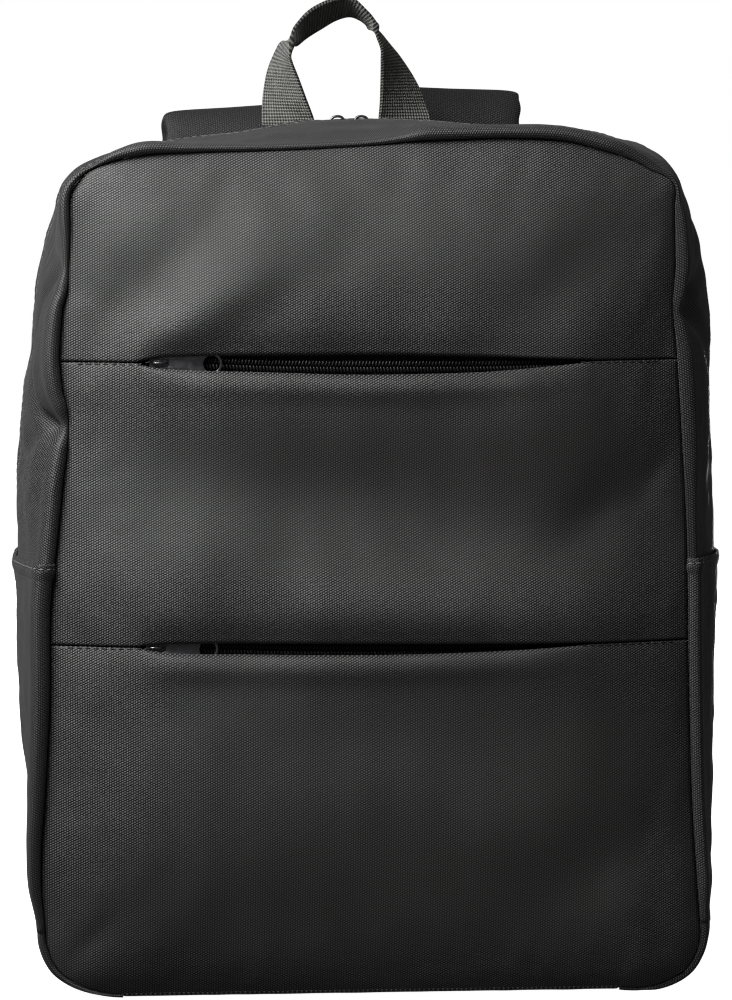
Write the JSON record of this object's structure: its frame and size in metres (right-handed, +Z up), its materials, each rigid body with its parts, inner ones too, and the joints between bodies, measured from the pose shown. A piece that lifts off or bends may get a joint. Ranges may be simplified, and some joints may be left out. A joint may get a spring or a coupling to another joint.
{
  "type": "laptop backpack",
  "caption": "Black laptop backpack with front zip pockets, a zip over the top, side slip pockets, a webbing handle and padded shoulder straps.",
  "frame": {"origin": "middle of the flat base, on the surface that the bag stands on", "axes": "+Z up, the front with its pockets faces -Y, the straps are on the +Y side"},
  "size_m": [0.3112, 0.1786, 0.4381],
  "materials": {
    "coated_fabric": "fine weave with a slight gloss",
    "back_mesh": "matte spacer mesh",
    "grey_webbing": "ribbed heather webbing",
    "black_webbing": "ribbed webbing",
    "zip_chain": "nylon coil on woven tape",
    "pull_metal": "dark gunmetal",
    "buckle_plastic": "satin"
  },
  "bodies": {
    "bag": {"front_upper_panel": "coated_fabric", "front_middle_panel": "coated_fabric", "front_lower_panel": "coated_fabric", "front_gusset": "coated_fabric", "back_gusset": "coated_fabric", "left_side_pocket": "coated_fabric", "right_side_pocket": "coated_fabric", "base_panel": "coated_fabric", "back_panel": "back_mesh", "left_shoulder_strap": "coated_fabric", "right_shoulder_strap": "coated_fabric", "carry_handle": "grey_webbing", "left_strap_webbing": "black_webbing", "right_strap_webbing": "black_webbing", "left_strap_buckle": "buckle_plastic", "right_strap_buckle": "buckle_plastic", "main_zip": "zip_chain", "upper_zip": "zip_chain", "lower_zip": "zip_chain", "main_zip_left_slider": "pull_metal", "main_zip_right_slider": "pull_metal", "upper_zip_slider": "pull_metal", "lower_zip_slider": "pull_metal", "upper_zip_pull": "pull_metal", "lower_zip_pull": "pull_metal"},
    "left_pull": {"main_zip_left_pull": "pull_metal"},
    "right_pull": {"main_zip_right_pull": "pull_metal"}
  },
  "joints": [
    {"name": "left_pull_hinge", "type": "hinge", "parent": "bag", "child": "left_pull", "pos_m": [-0.0114, -0.003, 0.3822], "axis": [0, 1, 0], "range_deg": [0, 90]},
    {"name": "right_pull_hinge", "type": "hinge", "parent": "bag", "child": "right_pull", "pos_m": [-0.0006, -0.003, 0.38221], "axis": [0, -1, 0], "range_deg": [0, 90]}
  ]
}
